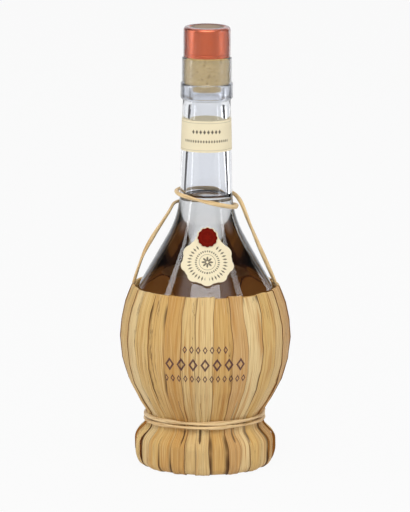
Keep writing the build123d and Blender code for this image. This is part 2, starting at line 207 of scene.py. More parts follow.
def lathe(name, outline, steps):
    """Turn an outline of radius and height round the Z axis, as a closed and smooth piece."""
    deselect_all()
    start = outline[0]
    bpy.ops.mesh.primitive_plane_add(size=MM, location=(start[0], 0, start[1]))
    piece = bpy.context.object
    piece.name = name
    piece.data.name = name
    bpy.ops.object.transform_apply(location=True, rotation=True, scale=True)
    bpy.ops.object.mode_set(mode="EDIT")
    bpy.ops.mesh.select_all(action="SELECT")
    bpy.ops.mesh.merge(type="CENTER")
    for here, there in zip(outline, outline[1:]):
        step = (there[0] - here[0], 0, there[1] - here[1])
        bpy.ops.mesh.extrude_vertices_move(TRANSFORM_OT_translate={"value": step})
    bpy.ops.mesh.select_all(action="SELECT")
    bpy.ops.mesh.spin(steps=steps, angle=2 * pi, center=(0, 0, 0), axis=(0, 0, 1))
    bpy.ops.mesh.select_all(action="SELECT")
    bpy.ops.mesh.remove_doubles(threshold=2e-6)
    bpy.ops.mesh.normals_make_consistent(inside=False)
    bpy.ops.object.mode_set(mode="OBJECT")
    bpy.ops.object.shade_smooth()
    return piece


def finish_piece(piece, material, slot, body, *nodes):
    """Give a new piece its material, its body and the CAD nodes that it stands for. Its slot is not used.
    """
    if material:
        piece.data.materials.clear()
        piece.data.materials.append(material)
    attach(piece, body)
    if nodes:
        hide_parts(*nodes)


def dress_node(name, material):
    """Give a CAD node that stays a better material."""
    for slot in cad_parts[name].material_slots:
        slot.material = material


# Small tools for materials

def add_node(tree, kind, *values, **given):
    """Add a node. A kind in capitals is an operation of the Math node.

    Names in small letters are settings. The other values are inputs, in order or by name: a number, a
    colour, a socket, or a node, whose first output in use is linked.
    """
    node = tree.nodes.new("ShaderNode" + ("Math" if kind.isupper() else kind))
    if kind.isupper():
        node.operation = kind
    for key, value in given.items():
        if key[0].islower():
            setattr(node, key, value)
    pairs = list(zip([socket for socket in node.inputs if socket.enabled], values))
    named = [key for key in given if key[0].isupper()]
    pairs += [(node.inputs[key.replace("_", " ")], given[key]) for key in named]
    for socket, value in pairs:
        if isinstance(value, bpy.types.Node):
            value = next(output for output in value.outputs if output.enabled)
        if isinstance(value, bpy.types.NodeSocket):
            tree.links.new(value, socket)
        else:
            socket.default_value = value
    return node


def new_material(name, look, *values):
    """A material of this name. Its look is a function that adds nodes and returns the shader."""
    material = bpy.data.materials.new(name)
    material.use_nodes = True
    material.node_tree.nodes.clear()
    add = partial(add_node, material.node_tree)
    add("OutputMaterial", look(add, *values))
    return material


def layered(add, base, *layers):
    """Colours laid over a base one after another, each by its share or by a part of it."""
    for share, *part, tone in layers:
        if part:
            share = add("MULTIPLY", share, *part)
        base, tone = (linear(each) if isinstance(each, str) else each for each in (base, tone))
        base = add("Mix", share, base, tone, data_type="RGBA")
    return base


def between(add, value, low, high):
    """1 where a value lies between two limits, else 0."""
    return add("MULTIPLY", add("GREATER_THAN", value, low), add("LESS_THAN", value, high))


def mark_row(add, along, level, pitch, half_wide, half_high, power=1.0):
    """Distance from the marks of a row, below 1 inside one: lozenges, or ovals at power 2."""
    parts = []
    along = add("PINGPONG", along, pitch * MM)
    for value, half in ((along, half_wide), (level, half_high)):
        part = add("ABSOLUTE", add("DIVIDE", value, half * MM))
        parts.append(add("POWER", part, power))
    return add("ADD", *parts)


def round_place(add, centre):
    """Distance from a centre on the slope of the shoulder, and the angle round it."""
    offset = add("VectorMath", add("TexCoord").outputs["Object"], centre, operation="SUBTRACT")
    across = add("SeparateXYZ", offset).outputs["X"]
    up = add("VectorMath", offset, (0.0, sin(SLOPE), cos(SLOPE)), operation="DOT_PRODUCT")
    radius = add("VectorMath", add("CombineXYZ", across, up), operation="LENGTH")
    return radius, add("ARCTAN2", across, up)


# Looks of the materials

def soda_lime_glass(add, colours):
    """Soda lime glass, blown and fire polished: clear, with faint waves from the mould."""
    drawn = add("Mapping", Vector=add("TexCoord").outputs["Object"], Scale=(1.0, 1.0, 0.18))
    # Waves about 9 mm wide, drawn out along the neck, 0.03 mm deep
    waves = add("TexNoise", drawn, 110.0, 1.0)
    normal = add("Bump", Strength=0.35, Distance=0.03 * MM, Height=waves)
    look = {"Base_Color": colours.glass, "Roughness": 0.0, "IOR": 1.5, "Transmission_Weight": 1.0}
    return add("BsdfPrincipled", Normal=normal, **look)


def clear_spirit(add, colours):
    """Grain spirit and water: clear, bends light less than the glass."""
    look = {"Base_Color": colours.spirit, "Roughness": 0.0, "IOR": 1.36, "Transmission_Weight": 1.0}
    return add("BsdfPrincipled", **look)


def pressed_cork(add, colours):
    """Pressed cork, ground to size: matt, with 1 to 2 mm grains and darker bark flecks."""
    place = add("TexCoord").outputs["Object"]
    grains = add("TexVoronoi", place, 700.0)
    tone = add("SeparateXYZ", grains.outputs["Color"])
    flecks = add("MapRange", add("TexNoise", place, 420.0, 2.0), 0.60, 0.70, 0.0, 0.8, **SMOOTH)
    base = layered(add, colours.cork, (tone, 0.35, colours.cork_fleck), (flecks, colours.cork_fleck))
    normal = add("Bump", Strength=0.6, Distance=0.2 * MM, Height=grains.outputs["Distance"])
    # The weak emission is the light that the thick glass leads into the cork from all sides
    glow = {"Emission_Color": colours.cork, "Emission_Strength": 0.28}
    return add("BsdfPrincipled", Base_Color=base, Roughness=0.85, Normal=normal, **glow)


def moulded_head(add, colours):
    """Polyethylene, moulded and coloured beige: waxy, with a faint drag from the mould."""
    mottling = add("TexNoise", add("TexCoord").outputs["Object"], 300.0, 3.0)
    base = layered(add, colours.cork, (mottling, 0.4, "#C9A36B"))
    normal = add("Bump", Strength=1.0, Distance=0.05 * MM, Height=mottling)
    return add("BsdfPrincipled", Base_Color=base, Roughness=0.5, IOR=1.5, Normal=normal)


def anodised_cap(add, colours):
    """Aluminium sheet, drawn and anodised copper: satin metal with fine drawing lines."""
    place = add("TexCoord").outputs["Object"]
    x, y, z = add("SeparateXYZ", place).outputs
    # Drawing lines about 0.8 mm apart, coarser than the real ones so that they show
    lines = add("TexNoise", add("Mapping", Vector=place, Scale=(1.0, 1.0, 0.06)), 1250.0, 2.0)
    cloud = add("TexNoise", place, 90.0, 2.0)
    # The folded edge of the film shades a ring of short dashes on the cap's top
    radius = add("VectorMath", add("CombineXYZ", x, y), operation="LENGTH")
    turn = add("ARCTAN2", y, x)
    dashes = add("SINE", add("MULTIPLY", turn, 32.0))
    dashes = add("MapRange", dashes, -0.6, 0.2, 0.0, 0.95, **SMOOTH)
    on_top = add("GREATER_THAN", z, (CAP_TOP - 0.7) * MM)
    ring = add("MULTIPLY", between(add, radius, 8.6 * MM, 10.8 * MM), on_top)
    shade = add("MULTIPLY", ring, dashes)
    # Inside that ring the top is browner, with the film stretched over it
    disc = add("MULTIPLY", add("LESS_THAN", radius, 11.3 * MM), on_top)
    brown = layered(add, "#94703F", (cloud, "#6E4C26"))
    base = layered(add, colours.copper, (cloud, 0.3, "#AC3A1C"), (disc, brown), (shade, "#1E0E06"))
    look = {
        "Base_Color": base,
        "Metallic": add("MULTIPLY_ADD", disc, -0.75, 1.0),
        "Roughness": add("MULTIPLY_ADD", lines, 0.14, 0.34),
        "Normal": add("Bump", Strength=0.5, Distance=0.01 * MM, Height=lines),
    }
    return add("BsdfPrincipled", **look)


def shrink_film(add, colours):
    """Clear shrink film, shrunk on by heat: a little misty, with shallow creases."""
    # Creases about 4 mm apart
    creases = add("TexNoise", add("TexCoord").outputs["Object"], 260.0, 2.0)
    normal = add("Bump", Strength=0.4, Distance=0.04 * MM, Height=creases)
    look = {"Base_Color": colours.glass, "Roughness": 0.22, "IOR": 1.4, "Transmission_Weight": 1.0}
    return add("BsdfPrincipled", Normal=normal, **look)


def paper_colour(add, colours):
    """Uncoated cream paper with its fibres about 1 mm long, and the height of its tooth."""
    place = add("TexCoord").outputs["Object"]
    fibre = add("TexNoise", place, 900.0, 4.0, 0.65)
    cloud = add("TexNoise", place, 120.0, 2.0)
    return layered(add, colours.paper, (fibre, 0.16, "#C9B78E"), (cloud, 0.12, "#F6EFDA")), fibre


def band_paper(add, colours, bottom):
    """Uncoated label paper, offset printed with two rules, lozenges and dots, glued on wet."""
    base, fibre = paper_colour(add, colours)
    x, y, z = add("SeparateXYZ", add("TexCoord").outputs["Object"]).outputs
    front = add("LESS_THAN", y, 0.0)
    turn = add("ARCTAN2", x, add("MULTIPLY", y, -1.0))
    height = add("SUBTRACT", z, bottom)
    # Metres round the band, whose radius is 16.6 mm at the print
    along = add("MULTIPLY", turn, 16.6 * MM)
    # Millimetres: a row of lozenges every 2.6 mm, and a row of oval dots every 1.8 mm below it
    rows = []
    for shift, row, pitch, half_wide, half_high, power, reach in (
        (1.3, 13.8, 1.3, 0.95, 1.5, 1.0, 0.62),
        (0.0, 7.4, 0.9, 0.5, 0.95, 2.0, 0.98),
    ):
        shifted = add("ADD", along, shift * MM)
        level = add("SUBTRACT", height, row * MM)
        size = mark_row(add, shifted, level, pitch, half_wide, half_high, power)
        inside = add("LESS_THAN", size, 1.0)
        rows.append(add("MULTIPLY", inside, between(add, turn, -reach, reach)))
    marks = add("MULTIPLY", front, add("MAXIMUM", *rows))
    rules = [between(add, height, low * MM, (low + 0.25) * MM) for low in (1.2, 19.6)]
    rules = add("MULTIPLY", add("MAXIMUM", *rules), 0.55)
    base = layered(add, base, (add("MAXIMUM", marks, rules), 0.85, colours.ink))
    normal = add("Bump", Strength=0.5, Distance=0.03 * MM, Height=fibre)
    return add("BsdfPrincipled", Base_Color=base, Roughness=0.72, Normal=normal)


def paper_back(add, colours):
    """Glued side of the thin paper: cream, with the daylight that comes through the sheet."""
    base, _ = paper_colour(add, colours)
    glow = {"Emission_Color": colours.paper, "Emission_Strength": 0.55}
    return add("BsdfPrincipled", Base_Color=base, Roughness=0.8, **glow)


def label_paper(add, colours):
    """Uncoated label paper, die cut, offset printed with leaves, dots, a ring and a rosette."""
    base, fibre = paper_colour(add, colours)
    radius, turn = round_place(add, (0.0011, -0.03251, 0.1447))
    # Millimetres: a wreath of upright leaves every 2.3 mm, and a finer ring of dots every 1.5 mm inside it
    rings = []
    rows = ((12.1, 1.15, 0.62, 1.75, 1.0), (7.7, 0.75, 0.42, 0.75, 2.0))
    for middle, pitch, half_wide, half_high, power in rows:
        along = add("MULTIPLY", turn, middle * MM)
        level = add("SUBTRACT", radius, middle * MM)
        size = mark_row(add, along, level, pitch, half_wide, half_high, power)
        rings.append(add("LESS_THAN", size, 1.0))
    # The wreath is open above and below
    sides = between(add, add("ABSOLUTE", turn), 0.47, 3.03)
    rings[0] = add("MULTIPLY", rings[0], sides)
    rings.append(between(add, radius, 5.35 * MM, 5.6 * MM))
    # Eight petals, longest at 3.9 mm
    petal = add("ABSOLUTE", add("COSINE", add("MULTIPLY", turn, 4.0)))
    petal = add("MULTIPLY_ADD", petal, 2.7 * MM, 1.2 * MM)
    ink = between(add, radius, 0.8 * MM, petal)
    for ring in rings:
        ink = add("MAXIMUM", ink, ring)
    base = layered(add, base, (ink, 0.82, colours.ink))
    normal = add("Bump", Strength=0.5, Distance=0.03 * MM, Height=fibre)
    return add("BsdfPrincipled", Base_Color=base, Roughness=0.7, Normal=normal)


def embossed_seal(add, colours):
    """Red sealing wax, pressed: soft gloss, raised ring and star painted lighter, with painted shade in the
    low places.
    """
    # The seal's middle is 16.1 mm up the slope from the label's
    up, back = 16.1 * MM * cos(SLOPE), 16.1 * MM * sin(SLOPE)
    radius, turn = round_place(add, (0.0011, -0.03251 + back, 0.146 + up))
    star = add("COSINE", add("MULTIPLY", turn, 6.0))
    star = add("MULTIPLY_ADD", star, 0.8 * MM, 2.0 * MM)
    star = add("LESS_THAN", radius, star)
    relief = add("MAXIMUM", between(add, radius, 4.2 * MM, 4.8 * MM), star)
    # Mottling of about 2 mm, from the cooling wax
    mottle = add("TexNoise", add("TexCoord").outputs["Object"], 500.0, 3.0)
    # The raised ring and star are painted lighter than the low places around them, as painted shade; the
    # dark mottling is the wax's own
    base = layered(add, colours.seal, (relief, 0.35, "#8A1A08"), (mottle, 0.35, "#4C0A02"))
    height = add("MULTIPLY_ADD", mottle, 0.3, relief)
    normal = add("Bump", Strength=0.7, Distance=0.2 * MM, Height=height)
    look = {"Base_Color": base, "Roughness": 0.65, "Specular_IOR_Level": 0.1}
    return add("BsdfPrincipled", Normal=normal, **look)


def straw_ornament(add, x, y, z):
    """Where ink lies on the front husks: a small row, a bold row and a small row of lozenges."""
    front = add("LESS_THAN", y, 0.0)
    turn = add("ARCTAN2", x, add("MULTIPLY", y, -1.0))
    # Metres round the basket, whose radius is 57 mm at the print
    along = add("MULTIPLY", turn, 57.0 * MM)
    aside = add("ABSOLUTE", along)
    marks = 0.0
    # Millimetres: height, pitch, half width and half height of the lozenges, reach to each side
    for row, pitch, half_wide, half_high, reach in (
        (89.7, 2.3, 1.6, 2.7, 16.1),
        (79.3, 4.1, 3.2, 4.6, 28.7),
        (69.4, 2.3, 1.6, 2.7, 29.9),
    ):
        level = add("SUBTRACT", z, row * MM)
        # Each lozenge is an outline, open inside
        drawn = between(add, mark_row(add, along, level, pitch, half_wide, half_high), 0.52, 1.0)
        drawn = add("MULTIPLY", drawn, add("LESS_THAN", aside, reach * MM))
        marks = add("MAXIMUM", drawn, marks)
    return add("MULTIPLY", marks, front)


def along_fibres(add, across, along, third=0.0):
    """A place for noise in fibres: shares of the strip across, metres along it."""
    return add("CombineXYZ", *(add("MULTIPLY", *pair) for pair in (across, along)), third)


def dried_husk(add, colours):
    """Dried straw husk, pressed flat: satin, with lengthwise fibres, ripe streaks, brown torn edges, and
    painted shade in its splits, along its edges and where other husks cover it.
    """
    u, v, _ = add("SeparateXYZ", add("UVMap")).outputs
    number = add("FLOOR", u)
    tone = add("TexWhiteNoise", number, noise_dimensions="1D")
    second_tone = add("TexWhiteNoise", add("ADD", number, 41.3), noise_dimensions="1D")
    # Fibres 0.35 mm wide and 40 mm long, ripe streaks 2 mm wide and 60 mm long
    broad = along_fibres(add, (u, 6.5), (v, 17.0), second_tone)
    fibres = add("TexNoise", along_fibres(add, (u, 38.0), (v, 25.0), tone), 1.0, 3.0, 0.6)
    streaks = add("TexNoise", broad, 1.0, 3.0, 0.55)
    # Narrow brown creases, about 0.5 mm wide, where a husk has split along its fibres; their dark colour is
    # partly painted shade in the split
    shaded_crease = add("ABSOLUTE", add("SUBTRACT", streaks, 0.40))
    shaded_crease = add("MapRange", shaded_crease, 0.014, 0.0, **SMOOTH)
    long_waves = add("MapRange", add("TexNoise", broad, 0.4, 1.0), 0.50, 0.62, **SMOOTH)
    shaded_crease = add("MULTIPLY", shaded_crease, long_waves)
    # Brown torn edges, as ragged as the fibres, with painted shadow along them where the husks meet
    edge = add("ABSOLUTE", add("SUBTRACT", add("FRACT", u), 0.5))
    torn_and_shaded_start = add("MULTIPLY_ADD", fibres, 0.05, 0.435)
    # Printed ornament, thinner where it misses the fibres
    x, y, z = add("SeparateXYZ", add("TexCoord").outputs["Object"]).outputs
    worn = add("MULTIPLY_ADD", fibres, 0.35, 0.72)
    ink = add("MULTIPLY", straw_ornament(add, x, y, z), worn)
    # Under husks, those of odd number, get painted crevice shade where the others cover them, in patches 30
    # to 60 mm long, and always near the foot
    shade_patch_place = along_fibres(add, (number, 3.7), (v, 26.0), tone)
    patches = add("MapRange", add("TexNoise", shade_patch_place, 1.0, 1.0), 0.47, 0.60, **SMOOTH)
    low = add("MapRange", z, 26 * MM, 8 * MM, **SMOOTH)
    covered_shade = add("MapRange", edge, 0.22, 0.36, 0.0, 0.85, **SMOOTH)
    under = add("MODULO", number, 2.0)
    crevice_shade = add("MULTIPLY", add("MAXIMUM", patches, low), under)
    base = layered(
        add,
        colours.straw,
        (add("MapRange", tone, 0.15, 0.9, **SMOOTH), colours.straw_light),
        (add("MapRange", second_tone, 0.55, 1.0, 0.0, 0.6, **SMOOTH), colours.straw_amber),
        (add("MapRange", streaks, 0.48, 0.72, 0.0, 0.75, **SMOOTH), colours.straw_amber),
        (add("MapRange", fibres, 0.48, 0.70, 0.0, 0.60, **SMOOTH), "#8C5A2A"),
        (add("MapRange", fibres, 0.44, 0.26, 0.0, 0.50, **SMOOTH), "#E6D6B0"),
        # Painted shade in the splits, and brown torn edges with painted shadow along them
        (shaded_crease, 0.8, colours.straw_dark_and_shade),
        (add("MapRange", edge, torn_and_shaded_start, 0.5, 0.0, 0.85, **SMOOTH), colours.straw_dark_and_shade),
        (ink, colours.print),
        # Painted crevice shade on the covered sides of the under husks
        (crevice_shade, covered_shade, "#3C1E0A"),
    )
    relief = add("MULTIPLY_ADD", streaks, 0.8, add("MULTIPLY", fibres, 0.35))
    relief = add("MULTIPLY_ADD", shaded_crease, -0.5, relief)
    # The end folded in over the rim, the first 15 mm, is lit a little through the glass
    folded = add("MapRange", v, 15.5 * MM, 14.0 * MM, **SMOOTH)
    glow = layered(add, "#000000", (folded, layered(add, "#6A4826", (streaks, "#38200C"))))
    normal = add("Bump", Strength=0.75, Distance=0.5 * MM, Height=relief)
    look = {"Specular_IOR_Level": 0.3, "Emission_Color": glow, "Emission_Strength": 0.7}
    return add("BsdfPrincipled", Base_Color=base, Roughness=0.58, Normal=normal, **look)


def husk_inside(add, colours):
    """Inner face of the thin husks: brown, with the daylight that comes through them from outside."""
    u, v, _ = add("SeparateXYZ", add("UVMap")).outputs
    tone = add("TexWhiteNoise", add("FLOOR", u), noise_dimensions="1D")
    # Ripe streaks 2 mm wide, as on the outer face
    streaks = add("TexNoise", along_fibres(add, (u, 6.5), (v, 17.0), tone), 1.0, 3.0)
    share = add("MULTIPLY_ADD", tone, 0.5, add("MULTIPLY", streaks, 0.6))
    base = layered(add, colours.straw, (share, colours.straw_amber))
    glow = layered(add, colours.straw_inside, (share, "#42240A"))
    return add("BsdfPrincipled", Base_Color=base, Roughness=0.7, Emission_Color=glow, Emission_Strength=1.0)


def raffia(add, colours):
    """Straw fibres twisted into a strand: satin, with fibres that wind along it."""
    u, v, _ = add("SeparateXYZ", add("UVMap")).outputs
    # Fibres 0.5 mm wide that wind once in 60 mm
    wound = add("MULTIPLY_ADD", v, 16.0, u)
    place = along_fibres(add, (wound, 15.0), (v, 60.0))
    fibres = add("TexNoise", place, 1.0, 3.0, 0.6)
    patches = add("TexNoise", place, 0.16, 2.0)
    base = layered(
        add,
        colours.raffia,
        (add("MapRange", fibres, 0.45, 0.75, **SMOOTH), colours.raffia_dark),
        (add("MapRange", fibres, 0.42, 0.25, 0.0, 0.7, **SMOOTH), colours.straw_light),
        (add("MapRange", patches, 0.45, 0.8, 0.0, 0.4, **SMOOTH), colours.straw_amber),
    )
    normal = add("Bump", Strength=0.9, Distance=0.3 * MM, Height=fibres)
    look = {"Base_Color": base, "Roughness": 0.5, "Sheen_Weight": 0.1}
    return add("BsdfPrincipled", Normal=normal, **look)


def coiled_straw(add, colours, coil_height):
    """Straw bundled and stitched into coils: matt, with a groove between coils, darkened there as painted
    shade.
    """
    x, y, z = add("SeparateXYZ", add("TexCoord").outputs["Object"]).outputs
    turn = add("ARCTAN2", y, x)
    coils = add("PINGPONG", z, coil_height)
    # Fibres about 0.5 mm thick that run round the coil
    fibres = add("TexNoise", along_fibres(add, (turn, 6.0), (z, 2200.0)), 1.0, 3.0)
    ripe = add("MapRange", fibres, 0.35, 0.7, **SMOOTH)
    # Painted shade in the groove between coils
    groove = add("MapRange", coils, 0.6 * MM, 0.0, **SMOOTH)
    base = layered(add, colours.straw, (ripe, colours.straw_amber), (groove, colours.straw_dark_and_shade))
    height = add("MULTIPLY_ADD", coils, 1.0 / coil_height, fibres)
    normal = add("Bump", Strength=0.8, Distance=0.4 * MM, Height=height)
    return add("BsdfPrincipled", Base_Color=base, Roughness=0.7, Normal=normal)


def matt_floor(add, colours):
    """Matt paper with a fine grain: near white to the camera and in the glass, with its soft shadow."""
    rays = add("LightPath").outputs
    seen = add("MAXIMUM", rays["Is Camera Ray"], rays["Is Glossy Ray"])
    seen = add("MAXIMUM", seen, rays["Is Transmission Ray"])
    speckle = add("TexNoise", add("TexCoord").outputs["Object"], 900.0, 2.0)
    paper = add("BsdfDiffuse", layered(add, colours.floor, (speckle, 0.04, "#E8E8E8")))
    glow = add("Emission", linear("#FBFBFB"), 1.0)
    return add("MixShader", add("MULTIPLY", seen, 0.97), paper, glow)


def felt(add, dark, light, glow="#000000", strength=0.0):
    """Wool felt: quite matt, with fibres drawn at 4 mm so that they show."""
    fibres = add("TexNoise", add("TexCoord").outputs["Object"], 250.0, 2.0)
    base = layered(add, dark, (fibres, light))
    look = {"Emission_Color": linear(glow), "Emission_Strength": strength}
    return add("BsdfPrincipled", Base_Color=base, Roughness=1.0, **look)


# Outlines of the flask and its basket, as radius and height

def finish_outline():
    """Outside of the mouth from the top of the neck up: a low groove and two glass rings."""
    # Millimetres
    corners = [(16.09, 250.6), (15.7, 251.1), (15.7, 251.9), (17.3, 251.9), (17.3, 261.4)]
    corners += [(15.7, 261.6), (15.7, 262.4), (16.4, 262.6), (16.4, 279.6), (10.8, 279.6)]
    radii = [0.3, 0.25, 0.9, 1.1, 0.25, 0.25, 0.6, 1.4]
    return rounded(corners, radii, 12.0)


def body_outline(wall, middle, steps=22):
    """Outline of the glass body under a wall, from its lowest point to the neck."""
    # Arcs of the bottom, the side, the upper side and the shoulder, as drawn in the CAD
    points = arc((0, middle - 7.7 * MM), 52.11 * MM - wall, -90, -45, steps)[:-1]
    points += arc((-7.7 * MM, middle), 63.0 * MM - wall, -45, 0, steps)[:-1]
    points += arc((-19.6 * MM, middle), 74.9 * MM - wall, 0, 29.5, steps)
    # The shoulder ends with the slope of the neck, 3.4 degrees inside and 1.5 outside
    end = 183.4 if wall else 181.5
    points += arc((81.73 * MM, middle + 102.98 * MM), 64.0 * MM + wall, 209.5, end, steps)
    points[0] = (0.0, points[0][1])
    return points


def neck_radius(height):
    """Outer radius of the neck, which is 17.75 mm at its foot, 187.3 mm up."""
    return 17.75 * MM - (height - 187.3 * MM) * tan(NECK_SLOPE)


def basket_outline():
    """Outer face of the basket from inside the rim to under the foot, and its way out at each point."""
    # Millimetres: inside the rim, over it, the bulb, the waist, the foot and its sole
    corners = [(52.77, 108.7), (46.34, 123.16), (49.63, 124.62), (57.8, 106.28), (57.8, 64.92)]
    corners += [(39.3, 37.49), (39.3, 28.49), (46.3, 20.98), (46.3, 0.0), (28.5, 0.0), (28.5, 6.0)]
    radii = [1.8, 1.8, 86.0, 75.5, 5.0, 5.0, 10.0, 6.0, 3.0]
    drawn = rounded(corners, radii, 12.0)
    spaced = [drawn[0]]
    for point in drawn[1:]:
        if dist(point, spaced[-1]) > 0.2 * MM:
            spaced.append(point)
    points = divided(spaced, 1.9 * MM)
    ways = []
    for index in range(len(points)):
        before = points[max(0, index - 1)]
        after = points[min(len(points) - 1, index + 1)]
        run = dist(before, after)
        # Going down the outside, the way out is on the left
        ways.append((-(after[1] - before[1]) / run, (after[0] - before[0]) / run))
    return points, ways, running_lengths(points)


# Husks

def smooth_step(value):
    """0 below 0, 1 above 1, and smooth between."""
    value = max(0.0, min(1.0, value))
    return value * value * (3 - 2 * value)


def husk_draws(index, sizes):
    """What chance gives one husk. Every other one, from the first, lies outside and varies more."""
    chance = random.Random(FIRST_SEED + index)
    outer = index % 2 == 0
    return SimpleNamespace(
        outer=outer,
        middle=radians(360 / HUSKS * index - 90) + radians(chance.uniform(-1.3, 1.3)) * outer,
        lean=radians(chance.uniform(-5.0, 5.0)) * outer,
        half_angle=radians(chance.uniform(5.0, 7.0) if outer else chance.uniform(9.0, 9.8)),
        taper=chance.uniform(-0.12, 0.12),
        rim_rise=chance.uniform(-0.55, 0.45) * MM,
        foot_gap=chance.choice((0.0, 0.0, 0.08, 0.22)) * outer,
        foot_bulge=(chance.uniform(0.4, 1.6) if outer else 0.4) * MM,
        seed=chance.uniform(0, 100),
        pleats=chance.choice((1.0, 1.5, 2.0)),
        phase=chance.uniform(0, 2 * pi),
        lifted=chance.choice((-1, 1)),
        lift_size=sizes.husk_lift * chance.uniform(0.25, 1.0),
    )


def husk_point(leaf, sizes, point, out, u, s):
    """Where a point of a husk lies, from -1 to 1 across it and 0 to 1 along it."""
    radius, height = point
    # Between 62 and 38 mm up the husk becomes pleated, and below 26 mm it bulges over the foot.
    # Its two ends stay where they are, and it moves freely between them
    gathered = smooth_step((62 * MM - height) / (24 * MM)) * smooth_step((0.86 - s) / 0.05)
    footed = smooth_step((26 * MM - height) / (8 * MM)) * smooth_step((0.88 - s) / 0.06)
    footed *= smooth_step(height / (8 * MM))
    free = smooth_step((s - 0.02) / 0.05) * smooth_step((0.97 - s) / 0.04)
    edge_wave = noise.noise(Vector((leaf.seed, s * 8.0, u * 0.9 + 3.0))) * radians(1.9)
    width = leaf.half_angle * (1 + leaf.taper * (1 - 2 * s) - leaf.foot_gap * footed) + edge_wave
    angle = leaf.middle - (u * width + leaf.lean * (0.45 - s))
    ripple = cos(pi * leaf.pleats * u + leaf.phase) * (0.15 + gathered) * sizes.husk_ripple * 0.5
    wobble = noise.noise(Vector((u * 1.2 + leaf.seed, s * 14.0, 7.0))) * 0.22 * MM
    bulge = leaf.foot_bulge * footed
    if leaf.outer:
        curl = smooth_step((u * leaf.lifted - 0.55) / 0.45)
        curl *= max(0.0, noise.noise(Vector((leaf.seed + 20, s * 7.0, 1.0))) + 0.15)
        offset = -0.08 * MM + (ripple + wobble + curl * leaf.lift_size + bulge) * free
    else:
        offset = -sizes.husk_wall - 0.14 * MM + (ripple * 0.25 - abs(wobble) * 0.5 + bulge) * free
    reach = radius + out[0] * offset
    rise = height + out[1] * offset + leaf.rim_rise * smooth_step((height - 118 * MM) / (5 * MM))
    return reach * cos(angle), reach * sin(angle), max(0.02 * MM, rise)


def husk(index, sizes, outline, materials, columns=16):
    """One husk laid over the basket's outline: a grid whose points are placed one by one, then given its
    thickness.
    """
    points, ways, lengths = outline
    leaf = husk_draws(index, sizes)
    rows = len(points) - 1
    deselect_all()
    bpy.ops.mesh.primitive_grid_add(x_subdivisions=columns, y_subdivisions=rows, size=1.0)
    piece = bpy.context.object
    piece.name = f"husk_leaf_{index + 1:02d}"
    piece.data.name = piece.name
    for vertex in piece.data.vertices:
        row = round((vertex.co.y + 0.5) * rows)
        share = lengths[row] / lengths[-1]
        vertex.co = husk_point(leaf, sizes, points[row], ways[row], vertex.co.x * 2, share)
    # U is the husk's number plus its place across, V is metres along it
    for loop in piece.data.uv_layers.active.data:
        row = round(loop.uv[1] * rows)
        loop.uv = (index + 0.002 + loop.uv[0] * 0.996, lengths[row])
    for material in materials:
        piece.data.materials.append(material)
    solid = piece.modifiers.new("Thickness", "SOLIDIFY")
    solid.material_offset = 1
    solid.thickness = sizes.husk_wall
    solid.offset = -1.0
    bpy.ops.object.modifier_apply(modifier=solid.name)
    bpy.ops.object.shade_smooth_by_angle(angle=radians(50))
    return piece


# Strands

def route_curve(name, points):
    """A smooth NURBS line through given points."""
    curve = bpy.data.curves.new(name, "CURVE")
    curve.dimensions = "3D"
    spline = curve.splines.new("NURBS")
    spline.points.add(len(points) - 1)
    for point, place in zip(spline.points, points):
        point.co = (*place, 1.0)
    spline.order_u = 3
    spline.use_endpoint_u = True
    spline.resolution_u = 16
    line = bpy.data.objects.new(name, curve)
    bpy.context.collection.objects.link(line)
    mesh = bpy.data.meshes.new_from_object(line)
    path = [vertex.co.copy() for vertex in mesh.vertices]
    bpy.data.objects.remove(line)
    bpy.data.meshes.remove(mesh)
    return path


def even_path(path, step):
    """The same line at even steps, and its length."""
    lengths = running_lengths(path)
    count = max(4, int(lengths[-1] / step))
    places = []
    index = 0
    for number in range(count + 1):
        target = lengths[-1] * number / count
        while index < len(path) - 2 and lengths[index + 1] < target:
            index += 1
        run = max(1e-9, lengths[index + 1] - lengths[index])
        places.append(path[index].lerp(path[index + 1], min(1.0, (target - lengths[index]) / run)))
    return places, lengths[-1]


def strand_rings(places, total, width, thickness, seed, sides, turns):
    """Rings of points round a line, flat, ridged and twisting along it."""
    last = len(places) - 1
    ways = [(places[min(last, i + 1)] - places[max(0, i - 1)]).normalized() for i in range(last + 1)]
    side = ways[0].orthogonal().normalized()
    vertices = []
    for index, (place, way) in enumerate(zip(places, ways)):
        if index:
            side.rotate(ways[index - 1].rotation_difference(way))
        side = (side - way * side.dot(way)).normalized()
        s = index / last
        along = s * total
        twist = 2 * pi * turns * s + 1.6 * noise.noise(Vector((seed, along * 30, 0)))
        swell = 1.0 + 0.12 * noise.noise(Vector((seed + 5, along * 60, 0)))
        flat = Quaternion(way, twist) @ side
        other = way.cross(flat)
        for corner in range(sides):
            angle = 2 * pi * corner / sides
            rough = noise.noise(Vector((4 * cos(angle), 4 * sin(angle), along * 70 + seed)))
            ridge = 0.06 * cos(5 * angle + along * 90) + 0.05 * rough
            reach = swell * (1.0 + ridge) * 0.5
            across = flat * (cos(angle) * width * reach)
            vertices.append(place + across + other * (sin(angle) * thickness * reach))
    return vertices


